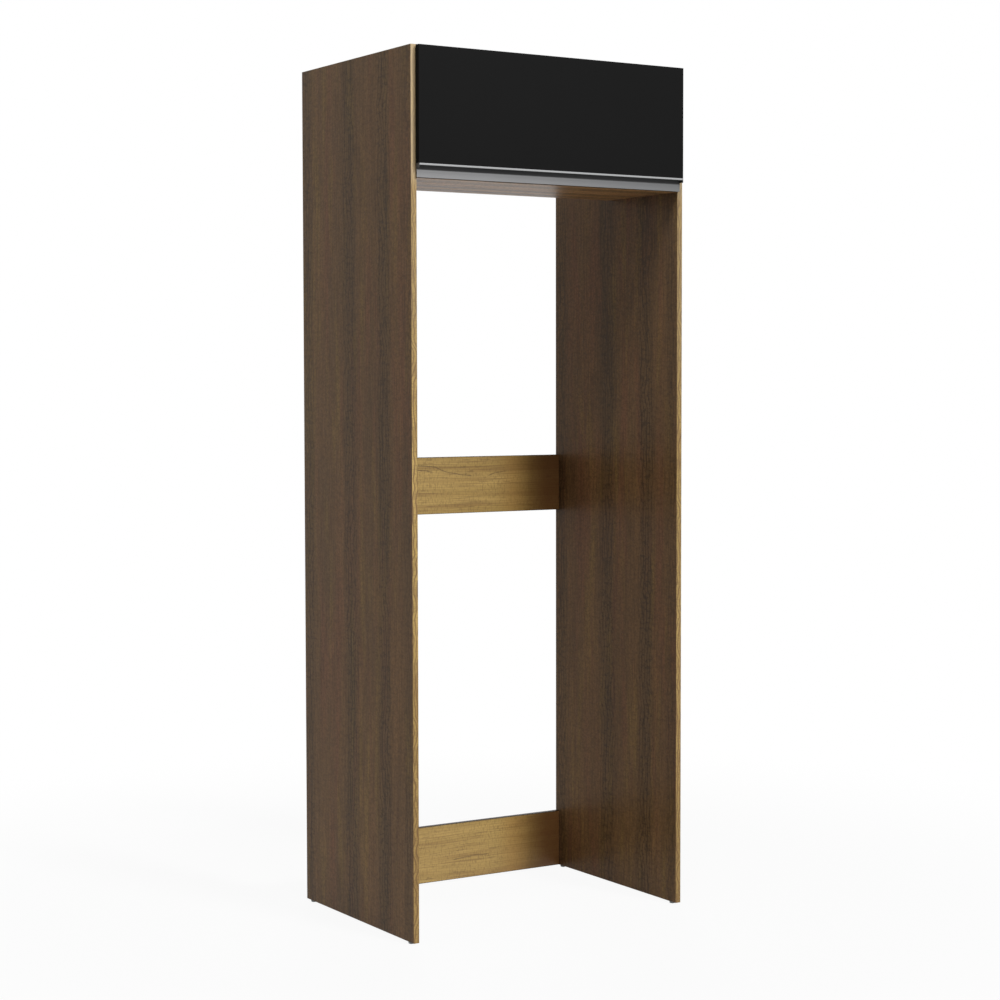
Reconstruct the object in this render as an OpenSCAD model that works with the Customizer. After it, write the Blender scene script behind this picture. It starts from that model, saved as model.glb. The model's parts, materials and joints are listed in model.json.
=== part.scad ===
// Fridge housing unit: two tall side panels, a shallow cupboard with a top-hung flap between
// their upper ends, and two rear rails. The fridge stands on the floor between the panels.
// Origin at floor level in the middle of the footprint, +X right, +Y to the back, +Z up.

/* [Carcass] */
// Overall width over both side panels
unit_w = 800; // [700:5:1000]
// Height of the side panels, without the glides
panel_h = 2155; // [1900:5:2300]
// Depth of the side panels from front edge to rear edge
panel_d = 565; // [450:5:700]
// Thickness of the side panels, boards and rails
board_t = 15; // [15:0.5:19]
// Thickness of the edge bands
band_t = 1; // [0.5:0.1:2]

/* [Rear rails] */
// Height of each rail
rail_h = 153; // [120:1:200]
// Clear height between the lower and the middle rail
rail_gap = 848; // [600:1:1000]

/* [Top cupboard] */
// Height of the cupboard over both boards
box_h = 315; // [290:1:420]
// Depth of the cupboard from front edge to the rear of its back board
box_d = 300; // [250:5:400]
// Thickness of the back board
back_t = 3; // [2:0.5:6]

/* [Flap] */
// Thickness of the flap panel
flap_t = 15; // [14:0.5:19]
// Gap between the closed flap and the carcass, filled by the folded hinge
flap_gap = 4; // [4:0.1:5]
// Distance from the unit's outer side to the flap's end
flap_inset = 11; // [6:0.5:14]
// Drop of the flap's top edge below the panel tops
flap_drop = 2; // [2:0.5:4]
// Height of the handle flange's lower edge above the cupboard's underside
flange_lift = 1; // [0:0.5:4]

/* [Handle profile] */
// Wall thickness of the aluminium profile
profile_t = 1.6; // [1.2:0.1:1.8]
// Height of the front lip
lip_h = 4.5; // [4:0.5:8]
// Depth of the grip between the flap's front and the rear flange
grip_d = 13; // [11:0.5:13]
// Height of the rear flange below the flap
flange_h = 33; // [20:1:34]
// Height of the tongue in the flap's groove
tongue_h = 8; // [5:0.5:12]
// Thickness of the plate of an end cap
cap_t = 1.5; // [1:0.1:3]
// Height of an end cap
cap_h = 11; // [8:0.5:16]

/* [Flap hinge] */
// Distance from each end of the hinge to the side panel
hinge_end = 15; // [5:1:60]
// Height of a hinge leaf below the pin
leaf_h = 11; // [9:0.5:12]
// Thickness of a hinge leaf
leaf_t = 0.9; // [0.7:0.1:1.2]
// Outside diameter of a knuckle
knuckle_d = 3.4; // [3:0.1:3.5]
// Diameter of the hinge pin
pin_d = 1.8; // [1.4:0.1:2]
// Length of one knuckle with its share of the gap
knuckle_pitch = 20; // [15:1:40]
// Distance between two hinge screws
hinge_screw_pitch = 100; // [60:5:150]

/* [Gas struts] */
// Distance of the side stud behind the hinge pin
strut_back = 110; // [80:5:140]
// Distance of the side stud below the hinge pin
strut_drop = 200; // [180:5:220]
// Distance of the flap stud below the hinge pin
stud_down = 50; // [40:1:60]
// Distance of the flap stud from the flap's rear face
stud_off = 16; // [15:0.5:22]
// Distance of the strut's axis from the side panel
strut_in = 13; // [12:0.5:18]
// Outside diameter of the tube
tube_d = 15; // [14:0.5:18]
// Wall thickness of the tube
tube_wall = 1; // [0.8:0.1:1.5]
// Length of rod that shows on the closed strut
rod_show = 14; // [6:1:20]
// Diameter of the rod
rod_d = 6; // [5:0.5:8]
// Diameter of the ball on the side stud
ball_d = 10; // [8:0.5:10]

/* [Joints of the boards] */
// Diameter of a dowel
dowel_d = 8; // [6:0.5:10]
// Length of a dowel inside the side panel
dowel_in_panel = 10; // [8:0.5:12]
// Length of a dowel inside the board
dowel_in_board = 22; // [16:1:28]
// Diameter of a cam lock
cam_d = 15; // [14:0.5:20]
// Distance of a cam lock's axis from the board's end
cam_reach = 34; // [30:1:40]
// Diameter of a cam bolt
bolt_d = 5; // [4.5:0.5:6]

/* [Feet and wall] */
// Diameter of a glide
glide_d = 15; // [12:0.5:15]
// Height of a glide
glide_h = 5; // [4:0.5:10]
// Distance of a glide's axis from the panel's front or rear edge
glide_edge = 25; // [15:1:60]
// Length of each leg of a wall bracket
bracket_leg = 30; // [24:1:40]
// Height of a wall bracket
bracket_h = 40; // [30:1:60]
// Diameter of the hole for the wall screw
wall_hole_d = 6; // [5:0.5:8]
// Distance from the panel tops to the wall screw
wall_hole_drop = 70; // [50:5:200]

/* [Hidden] */
$fn = 48;

walnut = [0.32, 0.25, 0.19];
oak = [0.68, 0.56, 0.36];
dark_band = [0.24, 0.18, 0.13];
flap_black = [0.09, 0.09, 0.09];
alu = [0.72, 0.72, 0.73];
steel = [0.62, 0.62, 0.64];
dark_steel = [0.2, 0.2, 0.21];
black_plastic = [0.06, 0.06, 0.06];
grey_plastic = [0.5, 0.53, 0.53];
beech = [0.8, 0.66, 0.46];
hardboard = [0.45, 0.33, 0.22];

// Clearances and cutting allowance
slip = 0.05;        // radial play of a fastener, pin or rod in its hole
ball_play = 0.1;    // radial play of a ball in its socket
side_play = 0.5;    // side play of the back board, and of the open strut end at its stud
groove_play = 0.2;  // play of the tongue on each side in the groove
end_play = 0.5;     // depth left over beyond a dowel, tongue or bolt
knuckle_play = 0.3; // end play between two knuckles
bumper_play = 0.1;  // gap between the closed flap's bumpers and the cupboard
cut = 1;            // overshoot of every cut beyond the surface it opens

// Main planes
inner_x = unit_w/2 - board_t;
inner_w = 2*inner_x;
overall_d = panel_d + flap_gap + flap_t;
front_y = flap_gap + flap_t - overall_d/2;
back_y = front_y + panel_d;
base_z = glide_h;
top_z = base_z + panel_h;
box_floor_z = top_z - box_h;
box_back_y = front_y + box_d - back_t;
middle_rail_z = base_z + rail_h + rail_gap;

// Flap
flap_w = unit_w - 2*flap_inset;
flap_h = box_h - flap_drop - flange_h - flange_lift;
flap_rear_y = front_y - flap_gap;
flap_front_y = flap_rear_y - flap_t;
flap_top_z = top_z - flap_drop;
flap_bottom_z = flap_top_z - flap_h;
flange_rear_y = flap_front_y + grip_d + profile_t;
tongue_y = flap_t/2 - profile_t/2;
bumper_d = 10;
bumper_len = front_y - bumper_play - flange_rear_y;
bumper_edge = 100;

// Hinge
hinge_y = front_y - flap_gap/2;
hinge_z = flap_top_z;
hinge_len = inner_w - 2*hinge_end;
knuckle_n = floor(hinge_len/knuckle_pitch);
hinge_screw_n = floor((hinge_len - 20)/hinge_screw_pitch) + 1;
hinge_screw_d = 3;
hinge_screw_drop = leaf_h*0.6;
carcass_screw_len = 16;
flap_screw_len = 12;

// Struts, in the plane of the strut's axis: [y, z] of both studs on the closed unit
strut_x = inner_x - strut_in;
side_stud = [hinge_y + strut_back, hinge_z - strut_drop];
flap_stud = [flap_rear_y + stud_off, hinge_z - stud_down];
strut_span = norm(flap_stud - side_stud);
strut_lean = atan2(side_stud.x - flap_stud.x, flap_stud.y - side_stud.y);
socket_d = 13;
socket_w = 11;
socket_len = 14;
socket_neck_d = 10;
mouth_d = 8;
rod_seat = 7;
tube_top = strut_span - socket_len;
tube_cap = 8;
tube_bottom = socket_len + rod_show;
tube_len = tube_top - tube_bottom;
gland_h = 8;
piston_h = 6;
piston_gap = 4;
rod_top = tube_top - tube_cap - piston_gap - piston_h;
mount_t = 2;
mount_w = 14;
mount_h = 44;
mount_screw_dz = 15;
stud_d = 5;
ear_r = 8;
foot_h = 18;
foot_len = 42;
flap_screw_xs = [20.5, 32.5];
bracket_screw_d = 3.5;
mount_screw_len = 13;
flap_bracket_screw_len = 13;

// Board joints
cam_floor = 2.5;
cam_h = board_t - cam_floor;
cam_sink = 0.1;
channel_d = bolt_d + 3;
bolt_in_panel = 11;
bolt_neck_d = 4;
bolt_head_d = 6.4;
head_pocket_d = 7.2;
board_zs = [box_floor_z + board_t/2, top_z - board_t/2];
rail_zs = [base_z + rail_h/2, middle_rail_z + rail_h/2];
rail_y = back_y - board_t/2;
cam_edge = 62;
dowel_edge = 30;
cam_ys = [front_y + cam_edge, box_back_y - cam_edge];
dowel_ys = [front_y + dowel_edge, box_back_y - dowel_edge];
rail_dowel_edge = 25;
rail_dowel_dz = rail_h/2 - rail_dowel_edge;
nail_d = 1.4;
nail_len = 20;
nail_pitch = 105;
nail_n = floor((inner_w - 40)/nail_pitch) + 1;
glide_ys = [front_y + glide_edge, back_y - glide_edge];
glide_nail_d = 1.8;
glide_nail_len = 18;
glide_head_d = 5;
glide_head_z = 1.2;
wall_hole_z = top_z - wall_hole_drop;
bracket_t = 2;
bracket_screw_dz = bracket_h/4;

// Placing

module left() mirror([1, 0, 0]) children();

module both_sides() {
    children();
    left() children();
}

// Cylinder along +X from the origin
module rod_x(d, h) rotate([0, 90, 0]) cylinder(d = d, h = h);

// Hole along +X that opens at the origin
module hole_x(d, depth) translate([-cut, 0, 0]) rod_x(d, depth + cut);

// Ball at the origin with its poles on the X axis, where studs and mouths meet it
module ball(d) rotate([0, 90, 0]) sphere(d = d);

// A section in the YZ plane carried along X, centred
module along_x(len) rotate([90, 0, 90]) linear_extrude(len, center = true) children();

// Right-hand board ends. +X points into the panel, +Z to the side where the cam lock goes in.
module at_cams() {
    for (z = board_zs, y = cam_ys) translate([inner_x, y, z]) children();
    for (z = rail_zs) translate([inner_x, rail_y, z]) rotate([-90, 0, 0]) children();
}

module at_dowels() {
    for (z = board_zs, y = dowel_ys) translate([inner_x, y, z]) children();
    for (z = rail_zs, dz = [-rail_dowel_dz, rail_dowel_dz])
        translate([inner_x, rail_y, z + dz]) children();
}

module at_glides() for (y = glide_ys) translate([inner_x + board_t/2, y, 0]) children();

// Screws of the strut mount and of the wall bracket, +X into the panel from the metal's face
module at_mount_screws() for (dz = [-mount_screw_dz, mount_screw_dz])
    translate([inner_x - mount_t, side_stud.x, side_stud.y + dz]) children();

module at_wall_screws() for (dz = [-bracket_screw_dz, bracket_screw_dz])
    translate([inner_x - bracket_t, back_y - bracket_leg/2, wall_hole_z + dz]) children();

// Screws of the flap bracket, +X into the flap from the foot's face
module at_flap_bracket_screws() for (dx = flap_screw_xs)
    translate([inner_x - mount_t - dx, flap_rear_y + mount_t, flap_stud.y]) rotate([0, 0, -90])
        children();

// Hinge screws: +X into the top board, and +X into the flap
module at_hinge_xs() for (i = [0 : hinge_screw_n - 1])
    translate([(i - (hinge_screw_n - 1)/2)*hinge_screw_pitch, 0, hinge_z - hinge_screw_drop])
        children();

module at_carcass_hinge_screws() at_hinge_xs()
    translate([0, front_y - leaf_t, 0]) rotate([0, 0, 90]) children();

module at_flap_hinge_screws() at_hinge_xs()
    translate([0, flap_rear_y + leaf_t, 0]) rotate([0, 0, -90]) children();

module at_back_nails() for (z = board_zs, i = [0 : nail_n - 1])
    translate([(i - (nail_n - 1)/2)*nail_pitch, front_y + box_d, z]) children();

// Strut frame: origin at the side stud, +Z along the strut towards the flap stud
module at_strut() translate([strut_x, side_stud.x, side_stud.y]) rotate([strut_lean, 0, 0])
    children();

// Countersunk screw along +X with its head flush at the origin
module wood_screw(d, len) difference() {
    union() {
        rotate([0, 90, 0]) cylinder(d1 = 1.8*d, d2 = d, h = 0.45*d);
        rod_x(d, 0.8*len);
        translate([0.8*len, 0, 0]) rotate([0, 90, 0]) cylinder(d1 = d, d2 = 0.4, h = 0.2*len);
    }
    for (a = [0, 90]) rotate([a, 0, 0]) translate([-cut, -0.5*d, -0.12*d])
        cube([cut + 0.3*d, d, 0.24*d]);
}

// The hole that such a screw fills, from the head's face down
module screw_hole(d, len) {
    translate([-cut, 0, 0]) rod_x(1.8*d + 2*slip, cut);
    rotate([0, 90, 0]) cylinder(d1 = 1.8*d + 2*slip, d2 = d + 2*slip, h = 0.45*d);
    rod_x(d + 2*slip, len + slip);
}

// Carcass boards

module side_panel() color(walnut) difference() {
    translate([inner_x, front_y + band_t, base_z]) cube([board_t, panel_d - band_t, panel_h]);
    at_cams() hole_x(bolt_d, bolt_in_panel);
    at_dowels() hole_x(dowel_d + 2*slip, dowel_in_panel + end_play);
    at_mount_screws() screw_hole(bracket_screw_d, mount_screw_len);
    at_wall_screws() screw_hole(bracket_screw_d, mount_screw_len);
    at_glides() cylinder(d = glide_nail_d + 2*slip, h = glide_head_z + glide_nail_len + end_play);
}

module side_panel_right() side_panel();
module side_panel_left() left() side_panel();

module front_band() color(oak)
    translate([inner_x, front_y, base_z]) cube([board_t, band_t, panel_h]);

module front_band_right() front_band();
module front_band_left() left() front_band();

// Bores at a board's end: the channel for the bolt, the cam lock and the dowels
module board_end_bores() {
    at_cams() {
        translate([-cam_reach, 0, 0]) rod_x(channel_d, cam_reach + cut);
        translate([-cam_reach, 0, cam_floor - board_t/2]) cylinder(d = cam_d, h = cam_h + cut);
    }
    at_dowels() translate([-dowel_in_board - end_play, 0, 0])
        rod_x(dowel_d + 2*slip, dowel_in_board + end_play + cut);
}

// A cupboard board whose middle lies at height z, behind its front band
module cupboard_board(z) difference() {
    translate([-inner_x, front_y + band_t, z - board_t/2])
        cube([inner_w, box_d - back_t - band_t, board_t]);
    both_sides() board_end_bores();
    at_back_nails() rotate([0, 0, -90]) translate([back_t - cut, 0, 0])
        rod_x(nail_d + 2*slip, nail_len + cut);
}

module bottom_board() color(walnut) cupboard_board(board_zs[0]);

module top_board() color(walnut) difference() {
    cupboard_board(board_zs[1]);
    at_carcass_hinge_screws() screw_hole(hinge_screw_d, carcass_screw_len);
}

module board_front_bands() color(walnut) difference() {
    for (z = board_zs) translate([-inner_x, front_y, z - board_t/2])
        cube([inner_w, band_t, board_t]);
    at_carcass_hinge_screws() screw_hole(hinge_screw_d, carcass_screw_len);
}

module back_board() color(hardboard) difference() {
    translate([side_play - inner_x, box_back_y, box_floor_z])
        cube([inner_w - 2*side_play, back_t, box_h]);
    at_back_nails() rotate([0, 0, -90]) hole_x(nail_d + 2*slip, nail_len);
}

module back_board_nails() color(steel) at_back_nails() rotate([0, 0, -90]) {
    rod_x(nail_d, nail_len);
    translate([-0.8, 0, 0]) rod_x(3*nail_d, 0.8);
}

module rail(z) color(oak) difference() {
    translate([-inner_x, back_y - board_t, z + band_t]) cube([inner_w, board_t, rail_h - 2*band_t]);
    both_sides() board_end_bores();
}

module lower_rail() rail(base_z);
module middle_rail() rail(middle_rail_z);

module rail_edge_bands() color(dark_band)
    for (z = [base_z, middle_rail_z], dz = [0, rail_h - band_t])
        translate([-inner_x, back_y - board_t, z + dz]) cube([inner_w, board_t, band_t]);

// Knock-down joints

module dowels() color(beech) both_sides() at_dowels()
    translate([-dowel_in_board, 0, 0]) rod_x(dowel_d, dowel_in_board + dowel_in_panel);

// Bolt screwed into the panel, with a collar at the joint and its head inside the cam lock
module cam_bolt() {
    rod_x(bolt_d - 2*slip, bolt_in_panel);
    left() {
        rod_x(bolt_d + 2, 1);
        rod_x(bolt_d - 2*slip, cam_reach - cam_d/2 - 1);
        rod_x(bolt_neck_d, cam_reach);
        translate([cam_reach - 1, 0, 0]) rod_x(bolt_head_d, 2.5);
    }
}

module cam_bolts() color(steel) both_sides() at_cams() cam_bolt();

// Cam lock, with a slot for the bolt's neck, a pocket for its head and a driver's cross
module cam_lock() difference() {
    translate([0, 0, cam_floor - board_t/2]) cylinder(d = cam_d - 2*slip, h = cam_h - cam_sink);
    rod_x(bolt_neck_d + 0.8, cam_d);
    translate([-3, 0, 0]) rod_x(head_pocket_d, 4.2);
    for (a = [0, 90]) rotate(a) translate([-3, -0.7, board_t/2 - 2.4]) cube([6, 1.4, 2.4 + cut]);
}

module cam_locks() color(steel) both_sides() at_cams()
    translate([-cam_reach, 0, 0]) cam_lock();

// Plastic caps over the four locks that show inside the cupboard
module cam_caps() color(walnut) both_sides() for (y = cam_ys)
    translate([inner_x - cam_reach, y, box_floor_z + board_t]) {
        cylinder(d = cam_d + 2.5, h = 1);
        translate([0, 0, -1.4 - cam_sink]) cylinder(d = 1.3, h = 1.4 + cam_sink);
    }

// Feet

module glides() color(grey_plastic) both_sides() at_glides() difference() {
    union() {
        cylinder(d1 = glide_d - 3, d2 = glide_d, h = 1.5);
        translate([0, 0, 1.5]) cylinder(d = glide_d, h = glide_h - 1.5);
    }
    translate([0, 0, -cut]) cylinder(d = glide_nail_d + 2*slip, h = glide_h + 2*cut);
    translate([0, 0, -cut]) cylinder(d = glide_head_d + 0.4, h = glide_head_z + cut + 0.8);
}

module glide_nails() color(steel) both_sides() at_glides() {
    translate([0, 0, glide_head_z]) cylinder(d = glide_nail_d, h = glide_nail_len);
    translate([0, 0, glide_head_z]) cylinder(d = glide_head_d, h = 0.8);
}

// Wall brackets

module wall_bracket() color(steel) difference() {
    translate([inner_x - bracket_leg, back_y - bracket_leg, wall_hole_z - bracket_h/2]) difference() {
        cube([bracket_leg, bracket_leg, bracket_h]);
        translate([-bracket_t, -bracket_t, -cut]) cube([bracket_leg, bracket_leg, bracket_h + 2*cut]);
    }
    at_wall_screws() screw_hole(bracket_screw_d, mount_screw_len);
    translate([inner_x - bracket_leg*0.6, back_y, wall_hole_z]) rotate([0, 0, -90])
        hole_x(wall_hole_d, bracket_t + cut);
}

module wall_bracket_right() wall_bracket();
module wall_bracket_left() left() wall_bracket();

module wall_bracket_screws() color(steel) both_sides() at_wall_screws()
    wood_screw(bracket_screw_d, mount_screw_len);

// Strut mounts on the side panels

module strut_mount() color(steel) {
    difference() {
        translate([inner_x - mount_t, side_stud.x - mount_w/2, side_stud.y - mount_h/2])
            cube([mount_t, mount_w, mount_h]);
        at_mount_screws() screw_hole(bracket_screw_d, mount_screw_len);
    }
    translate([strut_x, side_stud.x, side_stud.y]) {
        ball(ball_d);
        rod_x(stud_d, strut_in - mount_t);
    }
}

module strut_mount_right() strut_mount();
module strut_mount_left() left() strut_mount();

module strut_mount_screws() color(steel) both_sides() at_mount_screws()
    wood_screw(bracket_screw_d, mount_screw_len);

// Hinge. Knuckles alternate along the pin: the carcass leaf has the even ones.

module knuckles(first) {
    start = -knuckle_n*knuckle_pitch/2;
    for (i = [first : 2 : knuckle_n - 1])
        translate([start + i*knuckle_pitch + knuckle_play/2, 0, 0]) children();
}

// Leaf drawn about the pin's axis, its plate on the +Y side, hanging down
module hinge_leaf(first) difference() {
    union() {
        translate([-hinge_len/2, flap_gap/2 - leaf_t, -leaf_h])
            cube([hinge_len, leaf_t, leaf_h - knuckle_d/2 - knuckle_play]);
        knuckles(first) {
            rod_x(knuckle_d, knuckle_pitch - knuckle_play);
            translate([0, flap_gap/2 - leaf_t, -leaf_h])
                cube([knuckle_pitch - knuckle_play, leaf_t, leaf_h]);
        }
    }
    translate([-hinge_len/2 - cut, 0, 0]) rod_x(pin_d + 2*slip, hinge_len + 2*cut);
}

module hinge_leaf_carcass() color(steel) difference() {
    translate([0, hinge_y, hinge_z]) hinge_leaf(0);
    at_carcass_hinge_screws() screw_hole(hinge_screw_d, carcass_screw_len);
}

module hinge_leaf_flap() color(steel) difference() {
    translate([0, hinge_y, hinge_z]) mirror([0, 1, 0]) hinge_leaf(1);
    at_flap_hinge_screws() screw_hole(hinge_screw_d, flap_screw_len);
}

module hinge_pin() color(steel) translate([-hinge_len/2, hinge_y, hinge_z]) rod_x(pin_d, hinge_len);

module hinge_screws_carcass() color(steel) at_carcass_hinge_screws()
    wood_screw(hinge_screw_d, carcass_screw_len);

module hinge_screws_flap() color(steel) at_flap_hinge_screws()
    wood_screw(hinge_screw_d, flap_screw_len);

// Flap

module flap_panel() color(flap_black) difference() {
    translate([-flap_w/2, flap_front_y, flap_bottom_z]) cube([flap_w, flap_t, flap_h]);
    translate([-flap_w/2 - cut, flap_front_y + tongue_y - groove_play, flap_bottom_z - cut])
        cube([flap_w + 2*cut, profile_t + 2*groove_play, tongue_h + end_play + cut]);
    at_flap_hinge_screws() screw_hole(hinge_screw_d, flap_screw_len);
    both_sides() at_flap_bracket_screws() screw_hole(bracket_screw_d, flap_bracket_screw_len);
}

// Section of the handle profile. Its origin is the flap's lower front edge.
module profile_section() {
    translate([0, -profile_t]) square([grip_d + profile_t, profile_t]);
    for (leg = [[0, lip_h], [grip_d, flange_h]]) translate([leg.x, profile_t/2 - leg.y]) {
        square([profile_t, leg.y - profile_t/2]);
        translate([profile_t/2, 0]) circle(d = profile_t);
    }
    translate([tongue_y, 0]) square([profile_t, tongue_h]);
}

module handle_profile() color(alu) translate([0, flap_front_y, flap_bottom_z])
    along_x(flap_w - 2*cap_t) profile_section();

// End cap: a plate over the profile's end with a rib between the lip and the flange
module handle_cap() color(black_plastic) translate([flap_w/2 - cap_t, flap_front_y, flap_bottom_z]) {
    translate([0, 0, -cap_h]) cube([cap_t, grip_d + profile_t, cap_h]);
    translate([-3, profile_t, -profile_t - 1.6]) cube([3 + cap_t, grip_d - profile_t, 1.6]);
}

module handle_cap_right() handle_cap();
module handle_cap_left() left() handle_cap();

module flap_bumpers() color(grey_plastic) both_sides()
    translate([unit_w/2 - bumper_edge, flange_rear_y, box_floor_z + board_t/2])
        rotate([0, 0, 90]) rod_x(bumper_d, bumper_len);

// Bracket on the flap: a foot with two screws, an ear and the stud that carries the strut.
// The stud's end stays side_play away from the strut's end fitting.
module flap_bracket() color(steel) difference() {
    ear_x = inner_x - mount_t - 2.5;
    socket_face = strut_x + socket_w/2 - 0.5;
    union() {
        translate([ear_x + mount_t - foot_len, flap_rear_y, flap_stud.y - foot_h/2])
            cube([foot_len, mount_t, foot_h]);
        translate([ear_x, flap_rear_y, flap_stud.y - ear_r]) cube([mount_t, stud_off, 2*ear_r]);
        translate([ear_x, flap_stud.x, flap_stud.y]) rod_x(2*ear_r, mount_t);
        translate([socket_face + side_play, flap_stud.x, flap_stud.y])
            rod_x(stud_d, ear_x - socket_face - side_play);
    }
    at_flap_bracket_screws() screw_hole(bracket_screw_d, flap_bracket_screw_len);
}

module flap_bracket_right() flap_bracket();
module flap_bracket_left() left() flap_bracket();

module flap_bracket_screws() color(steel) both_sides() at_flap_bracket_screws()
    wood_screw(bracket_screw_d, flap_bracket_screw_len);

// Gas struts

// End fitting around a ball at the origin: its mouth faces +X, its shank points along +Z
module ball_socket() difference() {
    union() {
        translate([-socket_w/2 - 0.5, 0, 0]) rod_x(socket_d, socket_w);
        cylinder(d = socket_neck_d, h = socket_len);
    }
    ball(ball_d + 2*ball_play);
    rod_x(mouth_d, socket_w);
    translate([0, 0, rod_seat]) cylinder(d = rod_d + 2*slip, h = socket_len);
}

module strut_rod() color(steel) at_strut() {
    translate([0, 0, rod_seat]) cylinder(d = rod_d, h = rod_top - rod_seat);
    translate([0, 0, rod_top]) cylinder(d = rod_d - 2, h = piston_h);
}

module strut_piston() color(black_plastic) at_strut() translate([0, 0, rod_top]) difference() {
    cylinder(d = tube_d - 2*tube_wall - 2*ball_play, h = piston_h);
    translate([0, 0, -cut]) cylinder(d = rod_d - 2 + 2*slip, h = piston_h + 2*cut);
}

module strut_rod_end() color(black_plastic) at_strut() ball_socket();

// Tube, closed at its upper end, with a stub that screws into the end fitting
module strut_tube() color(dark_steel) at_strut() difference() {
    union() {
        translate([0, 0, tube_bottom]) cylinder(d = tube_d, h = tube_len);
        translate([0, 0, tube_top - cut]) cylinder(d = rod_d, h = strut_span - rod_seat - tube_top + cut);
    }
    translate([0, 0, tube_bottom - cut]) cylinder(d = tube_d - 2*tube_wall, h = tube_len - tube_cap + cut);
}

module strut_gland() color(black_plastic) at_strut() translate([0, 0, tube_bottom]) difference() {
    cylinder(d = tube_d - 2*tube_wall - 2*slip, h = gland_h);
    translate([0, 0, -cut]) cylinder(d = rod_d + 2*slip, h = gland_h + 2*cut);
}

module strut_tube_end() color(black_plastic) at_strut() translate([0, 0, strut_span])
    mirror([0, 0, 1]) ball_socket();

module strut_rod_right() strut_rod();
module strut_rod_left() left() strut_rod();
module strut_piston_right() strut_piston();
module strut_piston_left() left() strut_piston();
module strut_rod_end_right() strut_rod_end();
module strut_rod_end_left() left() strut_rod_end();
module strut_tube_right() strut_tube();
module strut_tube_left() left() strut_tube();
module strut_gland_right() strut_gland();
module strut_gland_left() left() strut_gland();
module strut_tube_end_right() strut_tube_end();
module strut_tube_end_left() left() strut_tube_end();

side_panel_left();
side_panel_right();
front_band_left();
front_band_right();
top_board();
bottom_board();
board_front_bands();
back_board();
back_board_nails();
middle_rail();
lower_rail();
rail_edge_bands();
dowels();
cam_bolts();
cam_locks();
cam_caps();
glides();
glide_nails();
wall_bracket_left();
wall_bracket_right();
wall_bracket_screws();
strut_mount_left();
strut_mount_right();
strut_mount_screws();
hinge_leaf_carcass();
hinge_pin();
hinge_screws_carcass();
flap_panel();
handle_profile();
handle_cap_left();
handle_cap_right();
hinge_leaf_flap();
hinge_screws_flap();
flap_bracket_left();
flap_bracket_right();
flap_bracket_screws();
flap_bumpers();
strut_rod_left();
strut_rod_right();
strut_piston_left();
strut_piston_right();
strut_rod_end_left();
strut_rod_end_right();
strut_tube_left();
strut_tube_right();
strut_gland_left();
strut_gland_right();
strut_tube_end_left();
strut_tube_end_right();
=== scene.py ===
import json
import math

import bmesh
import bpy
from mathutils import Matrix, Vector


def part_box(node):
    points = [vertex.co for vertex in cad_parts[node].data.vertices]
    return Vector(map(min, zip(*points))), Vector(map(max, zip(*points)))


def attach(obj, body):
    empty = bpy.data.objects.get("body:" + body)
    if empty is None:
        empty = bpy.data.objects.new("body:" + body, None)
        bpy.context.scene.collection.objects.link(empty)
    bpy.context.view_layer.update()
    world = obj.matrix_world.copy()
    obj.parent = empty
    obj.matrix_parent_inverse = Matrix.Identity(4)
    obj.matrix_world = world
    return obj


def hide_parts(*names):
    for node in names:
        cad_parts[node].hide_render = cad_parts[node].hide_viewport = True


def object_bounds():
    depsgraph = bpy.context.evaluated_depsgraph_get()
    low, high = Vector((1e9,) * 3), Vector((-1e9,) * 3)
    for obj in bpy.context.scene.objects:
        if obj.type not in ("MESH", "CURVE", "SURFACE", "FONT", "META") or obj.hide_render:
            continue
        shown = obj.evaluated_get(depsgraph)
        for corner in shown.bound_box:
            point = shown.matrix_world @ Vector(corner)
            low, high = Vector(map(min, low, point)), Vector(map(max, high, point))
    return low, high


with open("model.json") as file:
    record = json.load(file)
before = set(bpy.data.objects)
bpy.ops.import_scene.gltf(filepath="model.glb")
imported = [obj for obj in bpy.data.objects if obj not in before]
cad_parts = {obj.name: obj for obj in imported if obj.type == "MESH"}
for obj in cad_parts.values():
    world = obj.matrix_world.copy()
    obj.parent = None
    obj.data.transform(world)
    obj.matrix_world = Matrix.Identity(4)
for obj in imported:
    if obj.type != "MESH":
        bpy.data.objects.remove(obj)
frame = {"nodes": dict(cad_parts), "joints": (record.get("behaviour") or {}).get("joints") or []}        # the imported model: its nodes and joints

cad_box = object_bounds()

# Camera. It stands off the unit's front left corner, at nearly two thirds of its height, and looks slightly
# down. Place, turn and lens come from lining the panels' corners up with the photograph.
eye = Vector((-3.0172, -4.8529, 1.3546))
turn, tilt, lean = (math.radians(angle) for angle in (32.0249, -2.9972, -0.0987))
ahead = Vector((math.sin(turn) * math.cos(tilt), math.cos(turn) * math.cos(tilt), math.sin(tilt)))
level = Vector((math.cos(turn), -math.sin(turn), 0))
upright = level.cross(ahead)
right = level * math.cos(lean) + upright * math.sin(lean)
up = upright * math.cos(lean) - level * math.sin(lean)
lens = bpy.data.cameras.new("camera")
lens.sensor_width, lens.lens = 36, 79.49
camera = bpy.data.objects.new("camera", lens)
camera.matrix_world = Matrix.Translation(eye) @ Matrix((right, up, -ahead)).transposed().to_4x4()
bpy.context.scene.collection.objects.link(camera)
bpy.context.scene.camera = camera


# Side panels. Two tall boards of 15 mm chipboard, faced on both sides with printed walnut paper under
# melamine, its grain upright. They are sawn to size, bored for the fittings, and left raw at the rear, top
# and bottom.
mm = 0.001               # the scene is in metres, and sizes in millimetres are multiplied by this


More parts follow.
